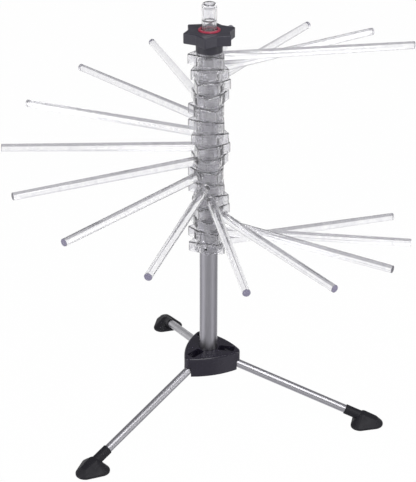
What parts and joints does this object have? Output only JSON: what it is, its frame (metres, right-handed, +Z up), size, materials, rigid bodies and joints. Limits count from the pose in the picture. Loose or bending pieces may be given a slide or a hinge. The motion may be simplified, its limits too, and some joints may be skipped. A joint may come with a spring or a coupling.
{
  "type": "pasta drying rack",
  "caption": "Free-standing pasta drying rack: clear arms fan out round an upright column on folding legs, turned by a star knob, with a pasta wand stored in the column.",
  "frame": {"origin": "on the ground, on the column's axis, between the three feet", "axes": "+Z up along the column; the top arm points 9.9 degrees anticlockwise from +X; the picture looks along +Y from above"},
  "size_m": [0.4142, 0.4122, 0.4554],
  "materials": {
    "tube": "satin, drawn tube",
    "clear": "clear polycarbonate, moulded",
    "knob": "fine matt grain",
    "collar": "smooth, slightly glossy",
    "hub": "smooth, slightly glossy",
    "inner_plastic": "plain moulding",
    "rubber": "matt",
    "leg": "satin, drawn tube",
    "steel": "zinc plated"
  },
  "bodies": {
    "stand": {"column_tube": "tube", "tube_collar": "collar", "knob_washer": "steel", "hub": "hub", "base_cover": "inner_plastic", "cover_screws": "steel", "column_plug": "inner_plastic", "column_screw": "steel", "column_washer": "steel", "leg_pin_1": "steel", "leg_pin_2": "steel", "leg_pin_3": "steel", "arm_16": "clear", "arm_screw": "steel"},
    "knob": {"knob": "knob"},
    "arm_01_body": {"arm_01": "clear"},
    "arm_02_body": {"arm_02": "clear"},
    "arm_03_body": {"arm_03": "clear"},
    "arm_04_body": {"arm_04": "clear"},
    "arm_05_body": {"arm_05": "clear"},
    "arm_06_body": {"arm_06": "clear"},
    "arm_07_body": {"arm_07": "clear"},
    "arm_08_body": {"arm_08": "clear"},
    "arm_09_body": {"arm_09": "clear"},
    "arm_10_body": {"arm_10": "clear"},
    "arm_11_body": {"arm_11": "clear"},
    "arm_12_body": {"arm_12": "clear"},
    "arm_13_body": {"arm_13": "clear"},
    "arm_14_body": {"arm_14": "clear"},
    "arm_15_body": {"arm_15": "clear"},
    "leg_1": {"leg_tube_1": "leg", "leg_end_1": "inner_plastic", "foot_1": "rubber"},
    "leg_2": {"leg_tube_2": "leg", "leg_end_2": "inner_plastic", "foot_2": "rubber"},
    "leg_3": {"leg_tube_3": "leg", "leg_end_3": "inner_plastic", "foot_3": "rubber"},
    "wand": {"wand_rod": "clear", "wand_cap": "clear"}
  },
  "joints": [
    {"name": "knob_turn", "type": "hinge", "parent": "stand", "child": "knob", "pos_m": [0, 0, 0.42], "axis": [0, 0, 1], "range_deg": [0, 367.5]},
    {"name": "arm_01_turn", "type": "hinge", "parent": "stand", "child": "arm_01_body", "pos_m": [0, 0, 0.4009], "axis": [0, 0, 1], "range_deg": [0, 367.5]},
    {"name": "arm_02_turn", "type": "hinge", "parent": "stand", "child": "arm_02_body", "pos_m": [0, 0, 0.38736], "axis": [0, 0, 1], "range_deg": [0, 343]},
    {"name": "arm_03_turn", "type": "hinge", "parent": "stand", "child": "arm_03_body", "pos_m": [0, 0, 0.37382], "axis": [0, 0, 1], "range_deg": [0, 318.5]},
    {"name": "arm_04_turn", "type": "hinge", "parent": "stand", "child": "arm_04_body", "pos_m": [0, 0, 0.36028], "axis": [0, 0, 1], "range_deg": [0, 294]},
    {"name": "arm_05_turn", "type": "hinge", "parent": "stand", "child": "arm_05_body", "pos_m": [0, 0, 0.34674], "axis": [0, 0, 1], "range_deg": [0, 269.5]},
    {"name": "arm_06_turn", "type": "hinge", "parent": "stand", "child": "arm_06_body", "pos_m": [0, 0, 0.3332], "axis": [0, 0, 1], "range_deg": [0, 245]},
    {"name": "arm_07_turn", "type": "hinge", "parent": "stand", "child": "arm_07_body", "pos_m": [0, 0, 0.31966], "axis": [0, 0, 1], "range_deg": [0, 220.5]},
    {"name": "arm_08_turn", "type": "hinge", "parent": "stand", "child": "arm_08_body", "pos_m": [0, 0, 0.30612], "axis": [0, 0, 1], "range_deg": [0, 196]},
    {"name": "arm_09_turn", "type": "hinge", "parent": "stand", "child": "arm_09_body", "pos_m": [0, 0, 0.29258], "axis": [0, 0, 1], "range_deg": [0, 171.5]},
    {"name": "arm_10_turn", "type": "hinge", "parent": "stand", "child": "arm_10_body", "pos_m": [0, 0, 0.27904], "axis": [0, 0, 1], "range_deg": [0, 147]},
    {"name": "arm_11_turn", "type": "hinge", "parent": "stand", "child": "arm_11_body", "pos_m": [0, 0, 0.2655], "axis": [0, 0, 1], "range_deg": [0, 122.5]},
    {"name": "arm_12_turn", "type": "hinge", "parent": "stand", "child": "arm_12_body", "pos_m": [0, 0, 0.25196], "axis": [0, 0, 1], "range_deg": [0, 98]},
    {"name": "arm_13_turn", "type": "hinge", "parent": "stand", "child": "arm_13_body", "pos_m": [0, 0, 0.23842], "axis": [0, 0, 1], "range_deg": [0, 73.5]},
    {"name": "arm_14_turn", "type": "hinge", "parent": "stand", "child": "arm_14_body", "pos_m": [0, 0, 0.22488], "axis": [0, 0, 1], "range_deg": [0, 49]},
    {"name": "arm_15_turn", "type": "hinge", "parent": "stand", "child": "arm_15_body", "pos_m": [0, 0, 0.21134], "axis": [0, 0, 1], "range_deg": [0, 24.5]},
    {"name": "leg_1_fold", "type": "hinge", "parent": "stand", "child": "leg_1", "pos_m": [-0.00578, 0.01915, 0.0598], "axis": [-0.9573, -0.289, 0], "range_deg": [0, 71]},
    {"name": "leg_2_fold", "type": "hinge", "parent": "stand", "child": "leg_2", "pos_m": [-0.01369, -0.01458, 0.0598], "axis": [0.729, -0.6845, 0], "range_deg": [0, 71]},
    {"name": "leg_3_fold", "type": "hinge", "parent": "stand", "child": "leg_3", "pos_m": [0.01947, -0.00457, 0.0598], "axis": [0.2284, 0.9736, 0], "range_deg": [0, 71]},
    {"name": "wand_lift", "type": "slide", "parent": "stand", "child": "wand", "axis": [0, 0, 1], "range_m": [0, 0.39]}
  ],
  "couplings": [
    {"joint": "arm_01_turn", "follows": "knob_turn", "ratio": 1},
    {"joint": "arm_02_turn", "follows": "knob_turn", "ratio": 0.93333},
    {"joint": "arm_03_turn", "follows": "knob_turn", "ratio": 0.86667},
    {"joint": "arm_04_turn", "follows": "knob_turn", "ratio": 0.8},
    {"joint": "arm_05_turn", "follows": "knob_turn", "ratio": 0.73333},
    {"joint": "arm_06_turn", "follows": "knob_turn", "ratio": 0.66667},
    {"joint": "arm_07_turn", "follows": "knob_turn", "ratio": 0.6},
    {"joint": "arm_08_turn", "follows": "knob_turn", "ratio": 0.53333},
    {"joint": "arm_09_turn", "follows": "knob_turn", "ratio": 0.46667},
    {"joint": "arm_10_turn", "follows": "knob_turn", "ratio": 0.4},
    {"joint": "arm_11_turn", "follows": "knob_turn", "ratio": 0.33333},
    {"joint": "arm_12_turn", "follows": "knob_turn", "ratio": 0.26667},
    {"joint": "arm_13_turn", "follows": "knob_turn", "ratio": 0.2},
    {"joint": "arm_14_turn", "follows": "knob_turn", "ratio": 0.13333},
    {"joint": "arm_15_turn", "follows": "knob_turn", "ratio": 0.066667}
  ]
}
